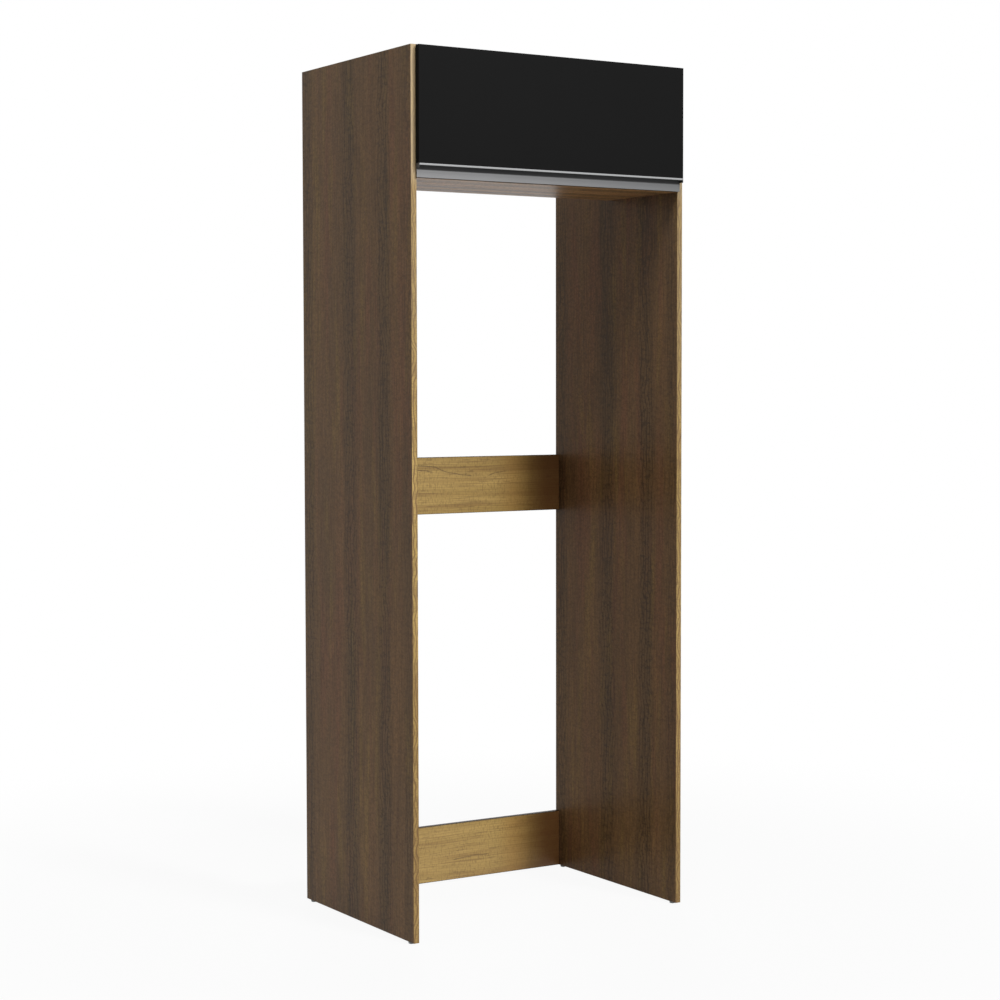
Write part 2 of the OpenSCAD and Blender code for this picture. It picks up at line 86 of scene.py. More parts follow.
class Wire:
    """A node tree, or one socket in it. Sums on sockets add the tree's own Math nodes."""

    def __init__(self, tree, socket=None):
        self.tree, self.socket = tree, socket

    def node(self, kind, settings={}, sockets={}, out=0):
        made = self.tree.nodes.new(kind)
        for name, value in settings.items():
            setattr(made, name, value)
        for name, value in sockets.items():
            if isinstance(value, Wire):
                self.tree.links.new(value.socket, made.inputs[name])
            else:
                made.inputs[name].default_value = value
        return Wire(self.tree, made.outputs[out] if made.outputs else None)

    def out(self, name):
        return Wire(self.tree, self.socket.node.outputs[name])

    def sum(self, operation, *values):
        return self.node("ShaderNodeMath", {"operation": operation}, dict(enumerate(values)))

    def __add__(self, other):
        return self.sum("ADD", self, other)

    def __radd__(self, other):
        return self.sum("ADD", other, self)

    def __sub__(self, other):
        return self.sum("SUBTRACT", self, other)

    def __rsub__(self, other):
        return self.sum("SUBTRACT", other, self)

    def __mul__(self, other):
        return self.sum("MULTIPLY", self, other)

    def __rmul__(self, other):
        return self.sum("MULTIPLY", other, self)

    def __truediv__(self, other):
        return self.sum("DIVIDE", self, other)

    def __abs__(self):
        return self.sum("ABSOLUTE", self)


def paint(red, green, blue):
    """A colour given as it looks on a screen, 0 to 255, as the shader wants it."""
    return tuple(c / 12.92 if c <= 0.04045 else ((c + 0.055) / 1.055) ** 2.4
                 for c in (red / 255, green / 255, blue / 255)) + (1.0,)


def places(t):
    """The three Object coordinates, in metres."""
    split = t.node("ShaderNodeSeparateXYZ", {}, {0: t.node("ShaderNodeTexCoord", out="Object")})
    return split, split.out("Y"), split.out("Z")


def speckle(t, x, y, z, detail=2.0, rough=0.5):
    """Smooth noise round 0.5 at a point whose coordinates are already in features."""
    point = t.node("ShaderNodeCombineXYZ", {}, {0: x, 1: y, 2: z})
    return t.node("ShaderNodeTexNoise", {},
                  {"Vector": point, "Scale": 1.0, "Detail": detail, "Roughness": rough})


def rise(t, value, low, high):
    """0 below low, 1 above high and smooth between them. It falls where low is above high."""
    flip = low > high
    return t.node("ShaderNodeMapRange", {"interpolation_type": "SMOOTHSTEP"},
                  {0: value, 1: min(low, high), 2: max(low, high), 3: float(flip), 4: 1.0 - flip})


def blended(t, share, first, second):
    return t.node("ShaderNodeMix", {"data_type": "RGBA"}, {0: share, 6: first, 7: second}, out=2)


def material(name, make):
    """A material from make(t), which gives its colour, roughness, relief and its depth, and plain values."""
    made = bpy.data.materials.new(name)
    made.use_nodes = True
    made.node_tree.nodes.clear()
    t = Wire(made.node_tree)
    colour, roughness, height, depth, plain = make(t)
    relief = t.node("ShaderNodeBump", {}, {"Strength": 1.0, "Distance": depth, "Height": height})
    shader = t.node("ShaderNodeBsdfPrincipled", {},
                    {"Base Color": colour, "Roughness": roughness, "Normal": relief, **plain})
    t.node("ShaderNodeOutputMaterial", {}, {"Surface": shader})
    return made


def walnut(across, along, streaks, seed, rich=1.0, shine=0.07):
    """Printed walnut. across and along name the board's axes. Each dark streak has a middle, a width and a
    depth of colour. rich above 1 makes the wood lighter, and shine is the melamine's gloss."""
    def make(t):
        axes = dict(zip("xyz", places(t)))
        a, l, third = axes[across], axes[along], axes[({"x", "y", "z"} - {across, along}).pop()]
        side = third * 4.0 + seed
        a = a + 0.02 * (speckle(t, a * 3.0, l * 1.3, side) - 0.5)
        a = a + 0.006 * (speckle(t, a * 22.0, l * 6.0, side) - 0.5)
        streak = 0.0
        for middle, width, depth in streaks:
            streak = depth * rise(t, abs(a - middle), width * 0.8, width * 0.2) + streak
        streak = streak * (0.5 + 0.8 * speckle(t, a * 5.0, l * 2.6, side + 3.0))
        tone = speckle(t, a * 16.0, l * 1.3, side + 7.0, 3.0)
        bent = a + 0.024 * (speckle(t, a * 7.0, l * 4.6, side + 21.0) - 0.5)
        lines = rise(t, speckle(t, bent * 210.0, l * 5.0, side), 0.52, 0.64)
        ring = a + 0.075 * (speckle(t, a * 9.0, l * 6.5, side + 31.0) - 0.5)
        arches = rise(t, t.sum("SINE", ring * 460.0), 0.45, 0.95)
        grain = rise(t, speckle(t, a * 200.0, l * 9.0, side + 19.0), 0.44, 0.66)
        threads = rise(t, speckle(t, a * 900.0, l * 11.0, side + 5.0), 0.46, 0.72)
        flecks = rise(t, speckle(t, a * 80.0, l * 120.0, side + 9.0, 1.0), 0.48, 0.68)
        golden = rise(t, speckle(t, a * 30.0, l * 2.6, side + 11.0), 0.5, 0.72)
        ruddy = rise(t, speckle(t, a * 21.0, l * 2.0, side + 15.0), 0.46, 0.72)
        mottle = rise(t, speckle(t, a * 160.0, l * 200.0, side + 25.0, 1.0), 0.44, 0.62)
        pores = rise(t, speckle(t, a * 1250.0, l * 75.0, side + 13.0, 1.0), 0.63, 0.76)
        colour = blended(t, rise(t, tone, 0.3, 0.7), paint(114 * rich, 87 * rich, 58 * rich),
                         paint(128 * rich, 96 * rich, 63 * rich))
        colour = blended(t, ruddy * 0.5, colour, paint(131, 86, 63))
        colour = blended(t, golden * 0.55, colour, paint(139, 111, 62))
        colour = blended(t, streak * 0.48, colour, paint(92, 74, 50))
        colour = blended(t, arches * (0.12 + 0.5 * streak), colour, paint(58, 45, 30))
        colour = blended(t, lines * (0.1 + 0.4 * streak), colour, paint(54, 41, 26))
        colour = blended(t, flecks * (0.2 + 0.4 * streak), colour, paint(62, 48, 33))
        colour = blended(t, grain * 0.3, colour, paint(66, 50, 35))
        colour = blended(t, mottle * 0.34, colour, paint(68, 52, 36))
        colour = blended(t, threads * 0.2, colour, paint(62, 46, 30))
        colour = blended(t, pores * 0.5, colour, paint(46, 32, 20))
        height = 1.0 - pores * 0.8 - threads * 0.25 - lines * 0.2
        gloss = {"IOR": 1.5, "Specular IOR Level": shine}
        return colour, 0.32 + 0.1 * threads + 0.12 * pores, height, 0.00012, gloss
    return make


def chipboard(t):
    """Sawn chipboard: flat chips pressed together, pale and dark, with open gaps."""
    x, y, z = places(t)
    point = t.node("ShaderNodeCombineXYZ", {}, {0: x * 420.0, 1: y * 230.0, 2: z * 230.0})
    chips = t.node("ShaderNodeTexVoronoi", {}, {"Vector": point, "Scale": 1.0}, out="Color")
    shade = t.node("ShaderNodeSeparateColor", {}, {0: chips})
    gaps = rise(t, t.node("ShaderNodeTexVoronoi", {"feature": "DISTANCE_TO_EDGE"},
                          {"Vector": point, "Scale": 1.0}), 0.12, 0.0)
    dust = speckle(t, x * 1500.0, y * 1500.0, z * 1500.0)
    colour = blended(t, shade, paint(150, 118, 82), paint(196, 166, 124))
    colour = blended(t, rise(t, shade.out("Green"), 0.75, 0.95), colour, paint(112, 80, 52))
    colour = blended(t, gaps * 0.55, colour, paint(84, 60, 40))
    colour = blended(t, dust * 0.25, colour, paint(170, 140, 104))
    return colour, 0.78 + 0.15 * dust, shade * 0.6 + dust * 0.4 - gaps, 0.00025, {"IOR": 1.45}


def show(piece, body, slot, *nodes):
    """A finished piece joins the scene, rides on its body and stands for its nodes."""
    if piece.name not in bpy.context.scene.collection.objects:
        bpy.context.scene.collection.objects.link(piece)
    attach(piece, body)
    if nodes:
        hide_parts(*nodes)
    return piece


def smooth(mesh, angle=50):
    """Rounds show round, and edges sharper than the angle stay crisp."""
    mesh.shade_smooth()
    mesh.set_sharp_from_angle(angle=math.radians(angle))
    return mesh


def eased(node, name, ease, finishes, choose=lambda normal: 0, corner=None):
    """A solid's merged copy with its outer edges eased. choose picks each face's finish from its normal.
    corner is an axis and a radius, for a plate whose four corners along that axis are rounded."""
    solid = bmesh.new()
    solid.from_mesh(frame["nodes"][node].data)
    bmesh.ops.remove_doubles(solid, verts=solid.verts, dist=2e-6)
    bmesh.ops.dissolve_limit(solid, angle_limit=math.radians(0.5), verts=solid.verts, edges=solid.edges)
    low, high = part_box(node)
    # the corners that lie on two or three faces of the solid's box, and the sharp edges between them
    rim = {v for v in solid.verts
           if sum(min(abs(v.co[i] - low[i]), abs(v.co[i] - high[i])) < 1e-5 for i in range(3)) > 1}
    edges = [e for e in solid.edges if rim.issuperset(e.verts) and e.calc_face_angle(0) > 1]
    if corner:
        axis = "xyz".index(corner[0])
        edges = [e for e in edges if abs((e.verts[0].co - e.verts[1].co).normalized()[axis]) > 0.99]
    reach, steps = (corner[1], 5) if corner else (ease, 2)
    if reach:
        bmesh.ops.bevel(solid, geom=edges, offset=reach, segments=steps, profile=0.5, affect="EDGES",
                        clamp_overlap=True)
    for face in solid.faces:
        face.material_index = choose(face.normal)
    mesh = bpy.data.meshes.new(name)
    solid.to_mesh(mesh)
    solid.free()
    for finish in finishes:
        mesh.materials.append(finish)
    piece = bpy.data.objects.new(name, smooth(mesh))
    piece.modifiers.new("large faces shade flat", "WEIGHTED_NORMAL").keep_sharp = True
    return piece


panel_streaks = ((0.266, 0.05, 0.8), (0.04, 0.062, 1.0), (-0.135, 0.056, 1.0), (-0.25, 0.04, 0.45))
panel_walnut = material("walnut upright", walnut("y", "z", panel_streaks, 2.0))
raw_chipboard = material("raw chipboard", chipboard)
for side in ("left", "right"):
    panel = eased(f"side_panel_{side}", f"tall_panel_{side}", 0.3 * mm, (panel_walnut, raw_chipboard),
                  choose=lambda normal: int(abs(normal.x) < 0.7))
    show(panel, "carcass", "walnut_board", f"side_panel_{side}")


# Front bands. A strip of golden oak plastic edging, 1 mm thick, glued to each panel's front edge with its
# grain upright, and its two arrises scraped round.
def oak(across, along, seed, pale, ringed, bold, short=1.0, broad=1.0, sway=0.016, cracks=(), painted_light=()):
    """Printed golden oak. across and along name the board's axes. pale above 1 lightens it, bold above 1
    darkens its figure, and ringed is how dark its growth rings are. short above 1 draws the figure in along
    the grain, broad above 1 widens it, and sway is how far it wanders across. Each crack is a list of places
    along and across. Each entry of painted light is a colour laid over the print as painted light and shade,
    with its share, and the places along where it starts and where it is full."""
    def make(t):
        axes = dict(zip("xyz", places(t)))
        a, l, third = axes[across], axes[along], axes[({"x", "y", "z"} - {across, along}).pop()]
        side = third * 4.0 + seed
        wander = 0.005 * (speckle(t, a * 60.0, l * 40.0, side + 18.0) - 0.5)
        cut = 0.0
        for line in cracks:
            for (l0, a0), (l1, a1) in zip(line, line[1:]):
                path = a - a0 - (l - l0) * ((a1 - a0) / (l1 - l0)) + wander
                within = rise(t, abs(l - (l0 + l1) / 2), abs(l1 - l0) / 2 + 0.004, abs(l1 - l0) / 2 - 0.004)
                cut = t.sum("MAXIMUM", within * rise(t, abs(path), 0.0022, 0.0006), cut)
        a = a + sway * (speckle(t, a * 4.0, l * 2.2 * short, side) - 0.5)
        tone = speckle(t, a * 24.0, l * 1.5, side + 2.0, 3.0)
        brown = rise(t, speckle(t, a * 60.0 / broad, l * 2.4 * short, side + 4.0), 0.5, 0.7)
        lines = rise(t, speckle(t, a * 330.0 / broad, l * 6.0 * short, side + 6.0), 0.5, 0.68)
        ring = a + 0.045 * (speckle(t, a * 12.0, l * 2.2 * short, side + 20.0) - 0.5)
        rings = rise(t, t.sum("SINE", ring * 1050.0 / broad), 0.2, 0.95)
        sawn = 0.1 + 1.5 * speckle(t, a * 14.0, l * 7.0, side + 26.0)
        ticks = rise(t, speckle(t, a * 95.0, l * 240.0, side + 8.0), 0.47, 0.68)
        veins = rise(t, speckle(t, a * 150.0, l * 16.0, side + 10.0, 1.0), 0.66, 0.72)
        pores = rise(t, speckle(t, a * 1300.0, l * 90.0, side + 14.0, 1.0), 0.62, 0.75)
        colour = blended(t, rise(t, tone, 0.3, 0.7), paint(160 * pale, 132 * pale, 74 * pale),
                         paint(182 * pale, 152 * pale, 90 * pale))
        colour = blended(t, brown * 0.42 * bold, colour, paint(138, 106, 60))
        colour = blended(t, lines * 0.36 * bold, colour, paint(114, 86, 48))
        colour = blended(t, rings * ringed, colour, paint(108, 80, 44))
        colour = blended(t, ticks * sawn * 0.5, colour, paint(112, 88, 49))
        colour = blended(t, veins * 0.32 * bold, colour, paint(96, 72, 42))
        colour = blended(t, pores * 0.45, colour, paint(92, 68, 38))
        colour = blended(t, cut * 0.55, colour, paint(78, 60, 38))
        # painted light and shade laid over the print
        for tint, share, none, full in painted_light:
            colour = blended(t, rise(t, axes[along], none, full) * share, colour, tint)
        height = 1.0 - pores * 0.7 - lines * 0.3 - veins * 0.5 - cut
        return colour, 0.4 + 0.1 * lines + 0.15 * pores, height, 0.00014, {"IOR": 1.5}
    return make


# painted light and shade over both bands' print: a greyer painted shade on the upper part from 1.2 m up, a
# pale painted light beside the flap from 1.81 m up against the flap's shadow, and a painted shade that
# darkens toward the floor below 1.05 m
band_painted_light = ((paint(119, 101, 75), 0.42, 1.2, 1.6), (paint(206, 186, 154), 0.36, 1.81, 1.87),
               (paint(106, 74, 26), 0.5, 1.05, 0.1))
# the right band's oak is drawn darker than the left band's, a painted shade on the same print
for side, pale in (("left", 1.05), ("right", 0.98)):
    band_oak = material(f"oak upright {side}", oak(
        "x", "z", 5.0, pale=pale, ringed=0.85, bold=1.5, short=5.0, broad=1.6, sway=0.03,
        painted_light=band_painted_light))
    band = eased(f"front_band_{side}", f"front_edging_{side}", 0.4 * mm, (band_oak,))
    show(band, "carcass", "oak_board", f"front_band_{side}")


# Cupboard boards. Top and bottom are 15 mm walnut-faced chipboard with the grain running across the unit,
# and both have a walnut band in front. The bottom one's walnut is drawn lighter, as painted light on the
# underside that faces the floor. Dowels and cam locks hold them.
board_streaks = ((-0.21, 0.05, 1.0), (-0.1, 0.03, 1.0), (-0.02, 0.04, 1.0))
board_walnut = material("walnut across", walnut("y", "x", board_streaks, 23.0))
# a lighter copy of the walnut, painted light for the bottom board's underside
painted_light_walnut = material("walnut across with painted light", walnut("y", "x", board_streaks, 23.0, rich=1.7, shine=0.05))
for name, face in (("top", board_walnut), ("bottom", painted_light_walnut)):
    board = eased(f"{name}_board", f"cupboard_{name}", 0.3 * mm, (face, raw_chipboard),
                  choose=lambda normal: int(abs(normal.z) < 0.7))
    show(board, "carcass", "walnut_board", f"{name}_board")
level_streaks = ((2.12, 0.04, 1.0), (2.015, 0.06, 0.8), (1.91, 0.045, 1.0))
level_walnut = material("walnut level", walnut("z", "x", level_streaks, 31.0))


def dress(node, finish):
    """A solid whose shape is right keeps it and gets its finish."""
    for place in frame["nodes"][node].material_slots:
        place.material = finish


dress("board_front_bands", level_walnut)


# Back board. 3 mm hardboard set behind the cupboard, smooth and walnut-printed inside, brown with the press
# screen's mark outside.
def hardboard(t):
    x, y, z = places(t)
    fibre = speckle(t, x * 260.0, y * 260.0, z * 260.0, 5.0, 0.65)
    patch = speckle(t, x * 9.0, y * 9.0, z * 9.0)
    weave = t.sum("SINE", x * 3900.0) * t.sum("SINE", z * 3900.0)
    colour = blended(t, fibre, paint(86, 62, 42), paint(140, 106, 74))
    colour = blended(t, rise(t, patch, 0.35, 0.7) * 0.3, colour, paint(104, 76, 52))
    return colour, 0.6 + 0.25 * fibre, weave * 0.4 + fibre * 0.6, 0.00012, {"IOR": 1.48}


raw_hardboard = material("raw hardboard", hardboard)
back = eased("back_board", "cupboard_back", 0.2 * mm, (raw_hardboard, level_walnut),
             choose=lambda normal: int(normal.y < -0.7))
show(back, "carcass", "hardboard", "back_board")


# Rear rails. Two boards of 15 mm chipboard, at the floor and above the middle, held by dowels and cam
# locks. Their golden oak print has cracks. Toward the right end a paler strip of painted light and then
# the right panel's painted shadow, in dark red brown, are laid over it. A dark 1 mm band covers their
# edges.
rail_cracks = (
    ((-0.15, 1.131), (-0.07, 1.137), (-0.021, 1.134), (0.024, 1.117), (0.077, 1.109), (0.1, 1.107)),
    ((-0.12, 1.129), (-0.069, 1.126), (-0.024, 1.119)),
    ((0.155, 1.106), (0.176, 1.114), (0.212, 1.117)),
    ((-0.31, 1.062), (-0.262, 1.055), (-0.2, 1.057)),
    ((0.04, 0.059), (0.1, 0.063), (0.15, 0.062)),
    ((-0.3, 0.118), (-0.24, 0.11), (-0.17, 0.108)))
# painted light and shadow on both rails: a paler strip of painted light from x 0.17 m, then the right
# panel's painted shadow in dark red brown from x 0.265 m to the right end
rail_painted_light = ((paint(198, 149, 78), 0.35, 0.17, 0.245), (paint(98, 50, 24), 0.7, 0.265, 0.35))
# the lower rail's oak is drawn a little darker than the middle rail's, a painted shade against the floor's
# light on it
for name, pale in (("lower", 0.99), ("middle", 1.05)):
    rail_oak = material(f"oak across {name}", oak(
        "z", "x", 41.0, pale=pale, ringed=0.18, bold=1.3, cracks=rail_cracks, painted_light=rail_painted_light))
    rail = eased(f"{name}_rail", f"rear_rail_{name}", 0.3 * mm, (rail_oak, raw_chipboard),
                 choose=lambda normal: int(abs(normal.y) < 0.7))
    show(rail, "carcass", "oak_board", f"{name}_rail")


def dark_band(t):
    x, y, z = places(t)
    grain = speckle(t, x * 8.0, y * 600.0, z * 600.0, 3.0)
    colour = blended(t, grain, paint(34, 25, 18), paint(60, 46, 33))
    return colour, 0.5 + 0.2 * grain, grain, 0.00008, {"IOR": 1.5, "Specular IOR Level": 0.04}


dress("rail_edge_bands", material("dark edging", dark_band))


# Flap. A 15 mm board with black satin faces and black bands, that closes the cupboard. Its lower edge has a
# groove for the handle's tongue.
def black_satin(t):
    x, y, z = places(t)
    skin = speckle(t, x * 900.0, y * 900.0, z * 900.0)
    cloud = speckle(t, x * 5.0, y * 5.0, z * 5.0)
    colour = blended(t, cloud, paint(15, 15, 15), paint(17, 17, 17))
    gloss = {"IOR": 1.5, "Specular IOR Level": 0.05}
    return colour, 0.48 + 0.06 * cloud + 0.05 * skin, skin, 0.00003, gloss


def black_band(t):
    x, y, z = places(t)
    skin = speckle(t, x * 700.0, y * 700.0, z * 700.0)
    colour = blended(t, skin, paint(5, 5, 5), paint(9, 9, 9))
    return colour, 0.5 + 0.12 * skin, skin, 0.00003, {"IOR": 1.5, "Specular IOR Level": 0.03}


flap_finish = material("black satin", black_satin)
flap = eased("flap_panel", "flap_board", 0.5 * mm, (flap_finish, material("black edging", black_band)),
             choose=lambda normal: int(abs(normal.y) < 0.6))
show(flap, "flap", "black_flap", "flap_panel")


# Handle. One aluminium extrusion under the flap: a lip in front that the fingers pull by, a web, and a tall
# flange that closes the grip behind them. A barbed tongue holds it in the flap's groove. It is drawn,
# anodised satin, and its lip is cut bright.
low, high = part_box("handle_profile")
wall, lip, grip, flange, tongue = 1.6, 4.5, 13.0, 33.0, 8.0      # the section's sizes in millimetres
web_y, web_z = low.y, high.z - tongue * mm       # where its front face and the top of its web are
lip_shadow_full, lip_shadow_ends = 13.6, 16.2            # how far below that the lip's painted shadow is full and where it fades out, in millimetres


def satin_aluminium(t):
    """Anodised aluminium, with a painted reflection that darkens it toward the right end, and the lip's
    painted shadow in the hollow of the grip.
    """
    x, y, z = places(t)
    drawn = speckle(t, x * 2.5, y * 1900.0, z * 1900.0, 3.0)
    soft = speckle(t, x * 6.0, y * 20.0, z * 40.0)
    colour = blended(t, soft, paint(136, 136, 137), paint(144, 144, 145))
    # painted reflection: the metal darkens toward the right end, for the dark right panel seen in it
    colour = blended(t, rise(t, x, -0.45, 0.5) * 0.8, colour, paint(104, 105, 106))
    # painted shadow: the lip's shadow, near black, laid on the flange in the hollow behind the lip
    behind_lip = rise(t, y, web_y + (wall - 0.7) * mm, web_y + (wall + 0.1) * mm)
    before_flange = rise(t, y, web_y + (grip + 0.9) * mm, web_y + (grip + 0.4) * mm)
    lip_shadow = behind_lip * before_flange * rise(t, z, web_z - lip_shadow_ends * mm, web_z - lip_shadow_full * mm)
    colour = blended(t, lip_shadow * 0.94, colour, paint(20, 20, 21))
    return colour, 0.4 + 0.1 * drawn + 0.2 * lip_shadow, drawn, 0.00002, {"Metallic": 0.15}


def bright_aluminium(t):
    x, y, z = places(t)
    drawn = speckle(t, x * 3.0, y * 2500.0, z * 2500.0)
    colour = blended(t, drawn, paint(166, 167, 168), paint(178, 179, 180))
    return colour, 0.2 + 0.1 * drawn, drawn, 0.00001, {"Metallic": 1.0}


def rounded(corners, steps=4):
    """A closed outline whose corners, given with their radii, are turned into arcs."""
    line = []
    for i, (x, y, radius) in enumerate(corners):
        corner = Vector((x, y))
        before = (Vector(corners[i - 1][:2]) - corner).normalized()
        after = (Vector(corners[(i + 1) % len(corners)][:2]) - corner).normalized()
        if radius == 0:
            line.append(corner)
            continue
        half = before.angle(after) / 2
        centre = corner + (before + after).normalized() * radius / math.sin(half)
        start = corner + before * radius / math.tan(half) - centre
        sweep = start.angle_signed(corner + after * radius / math.tan(half) - centre)
        for k in range(steps + 1):
            spin = Matrix.Rotation(-sweep * k / steps, 2)
            line.append(centre + spin @ start)
    return line


section = rounded([
    (0, 0, 0.3), (0, -lip, 0.75), (wall, -lip, 0.75), (wall, -wall, 0.8),
    (grip, -wall, 1.2), (grip, -flange, 0.75), (grip + wall, -flange, 0.75), (grip + wall, 0, 0.3),
    (8.3, 0, 0.0), (8.3, 2.6, 0.1), (8.42, 3.0, 0.05), (8.3, 4.2, 0.1), (8.3, tongue, 0.5),
    (6.7, tongue, 0.5), (6.7, 4.2, 0.1), (6.58, 3.0, 0.05), (6.7, 2.6, 0.1), (6.7, 0, 0.0)])
bright_to, bright_from = wall - 0.3, -0.2        # the lip's front and lower faces are the bright ones
handle = bmesh.new()
ends = [[handle.verts.new((x, web_y + p.x * mm, web_z + p.y * mm)) for p in section]
        for x in (low.x, high.x)]
for i in range(len(section)):
    j = (i + 1) % len(section)
    one, two = section[i], section[j]
    face = handle.faces.new((ends[0][i], ends[0][j], ends[1][j], ends[1][i]))
    face.material_index = int(max(one.x, two.x) < bright_to and min(one.y, two.y) < bright_from)
for end in ends:
    handle.faces.new(end)
bmesh.ops.recalc_face_normals(handle, faces=handle.faces)
mesh = bpy.data.meshes.new("handle_extrusion")
handle.to_mesh(mesh)
handle.free()
mesh.materials.append(material("satin aluminium", satin_aluminium))
mesh.materials.append(material("bright-cut aluminium", bright_aluminium))
show(bpy.data.objects.new("handle_extrusion", smooth(mesh)), "flap", "aluminium_profile", "handle_profile")


# Handle end caps. Black plastic plates, moulded, that cover the extrusion's two sawn ends. A rib on each is
# pressed in under the web and holds it.
def moulded(dark, light, rough):
    """Moulded plastic with a fine spark-eroded grain."""
    def make(t):
        x, y, z = places(t)
        grain = speckle(t, x * 1600.0, y * 1600.0, z * 1600.0)
        cloud = speckle(t, x * 40.0, y * 40.0, z * 40.0)
        colour = blended(t, cloud, paint(*dark), paint(*light))
        return colour, rough + 0.18 * grain, grain, 0.00004, {"IOR": 1.48}
    return make


black_plastic = material("black plastic", moulded((20, 20, 20), (28, 28, 28), 0.42))
grey_plastic = material("grey plastic", moulded((138, 146, 147), (150, 158, 159), 0.45))
for side in ("left", "right"):
    cap = eased(f"handle_cap_{side}", f"handle_end_{side}", 0.2 * mm, (black_plastic,))
    show(cap, "flap", "black_plastic", f"handle_cap_{side}")


# Screws. Countersunk chipboard screws with a driver's cross, zinc plated, that hold the hinge, the strut
# fittings and the wall brackets. Each kind is turned once and then set out in its rows, as all small
# fasteners are.
def set_out_tree():
    """Geometry nodes that set a piece out in rows, on one side of the unit or on both."""
    tree = bpy.data.node_groups.new("set out in rows", "GeometryNodeTree")
    for name, kind in (("Piece", "Object"), ("First", "Vector"), ("Step", "Vector"), ("Count", "Int"),
                       ("Row step", "Vector"), ("Rows", "Int"), ("Aim", "Vector"), ("Twist", "Float"),
                       ("Both sides", "Bool"), ("Finish", "Material")):
        tree.interface.new_socket(name, in_out="INPUT", socket_type="NodeSocket" + kind)
    tree.interface.new_socket("Pieces", in_out="OUTPUT", socket_type="NodeSocketGeometry")
    t = Wire(tree)
    given = t.node("NodeGroupInput")
    line = t.node("GeometryNodeMeshLine", {"mode": "OFFSET"}, {
        "Count": given.out("Count"), "Start Location": given.out("First"), "Offset": given.out("Step")})
    rows = t.node("GeometryNodeMeshLine", {"mode": "OFFSET"},
                  {"Count": given.out("Rows"), "Offset": given.out("Row step")})
    here = t.node("GeometryNodeRealizeInstances", {}, {
        0: t.node("GeometryNodeInstanceOnPoints", {}, {"Points": rows, "Instance": line})})
    piece = t.node("GeometryNodeObjectInfo", {}, {"Object": given.out("Piece")}, out="Geometry")

    def mirror(vector):
        return t.node("ShaderNodeVectorMath", {"operation": "MULTIPLY"}, {0: vector, 1: (-1, 1, 1)})

    there = t.node("GeometryNodeSetPosition", {}, {
        "Geometry": here, "Position": mirror(t.node("GeometryNodeInputPosition"))})
    sides = []
    for points, aim in ((here, given.out("Aim")), (there, mirror(given.out("Aim")))):
        aimed = t.node("FunctionNodeAlignRotationToVector", {"axis": "X"}, {"Vector": aim})
        sides.append(t.node("GeometryNodeInstanceOnPoints", {},
                            {"Points": points, "Instance": piece, "Rotation": aimed}))
    other = t.node("GeometryNodeSwitch", {"input_type": "GEOMETRY"},
                   {"Switch": given.out("Both sides"), "True": sides[1]})
    both = t.node("GeometryNodeJoinGeometry", {}, {0: sides[0]})
    t.tree.links.new(other.socket, both.socket.node.inputs[0])
    chance = t.node("FunctionNodeRandomValue", {"data_type": "FLOAT"},
                    {2: 0.0, 3: given.out("Twist"), "Seed": 7}, out=1)
    twist = t.node("FunctionNodeAxisAngleToRotation", {}, {"Axis": (1, 0, 0), "Angle": chance})
    turned_in = t.node("GeometryNodeRotateInstances", {}, {"Instances": both, "Rotation": twist})
    solid = t.node("GeometryNodeRealizeInstances", {}, {0: turned_in})
    solid = t.node("GeometryNodeSetMaterial", {}, {"Geometry": solid, "Material": given.out("Finish")})
    t.node("NodeGroupOutput", {}, {0: solid})
    return tree


rows_of = set_out_tree()


def set_out(name, piece, finish, first, aim, step=(0, 0, 0), count=1, row_step=(0, 0, 0), rows=1, twist=0.0,
            both=True):
    """The rows as one plain mesh. Lengths are in metres, and aim is where the piece's own X axis points."""
    pattern = bpy.data.objects.new(name + "_pattern", piece)
    holder = bpy.data.objects.new(name, bpy.data.meshes.new(name))
    bpy.context.scene.collection.objects.link(holder)
    bpy.context.scene.collection.objects.link(pattern)
    rule = holder.modifiers.new("rows", "NODES")
    rule.node_group = rows_of
    values = {"Piece": pattern, "First": first, "Step": step, "Count": count, "Row step": row_step,
              "Rows": rows, "Aim": aim, "Twist": twist, "Both sides": both, "Finish": finish}
    for item in rows_of.interface.items_tree:
        if item.in_out == "INPUT":
            rule[item.identifier] = values[item.name]
    state = bpy.context.evaluated_depsgraph_get()
    state.update()
    mesh = bpy.data.meshes.new_from_object(holder.evaluated_get(state), depsgraph=state)
    holder.modifiers.clear()
    holder.data = mesh
    bpy.data.objects.remove(pattern)
    return holder


def joined(name, parts):
    """Several plain meshes as one piece."""
    whole = bmesh.new()
    for part in parts:
        whole.from_mesh(part.data)
    mesh = bpy.data.meshes.new(name)
    whole.to_mesh(mesh)
    whole.free()
    mesh.materials.append(parts[0].data.materials[0])
    for part in parts:
        bpy.data.objects.remove(part)
    return bpy.data.objects.new(name, smooth(mesh))


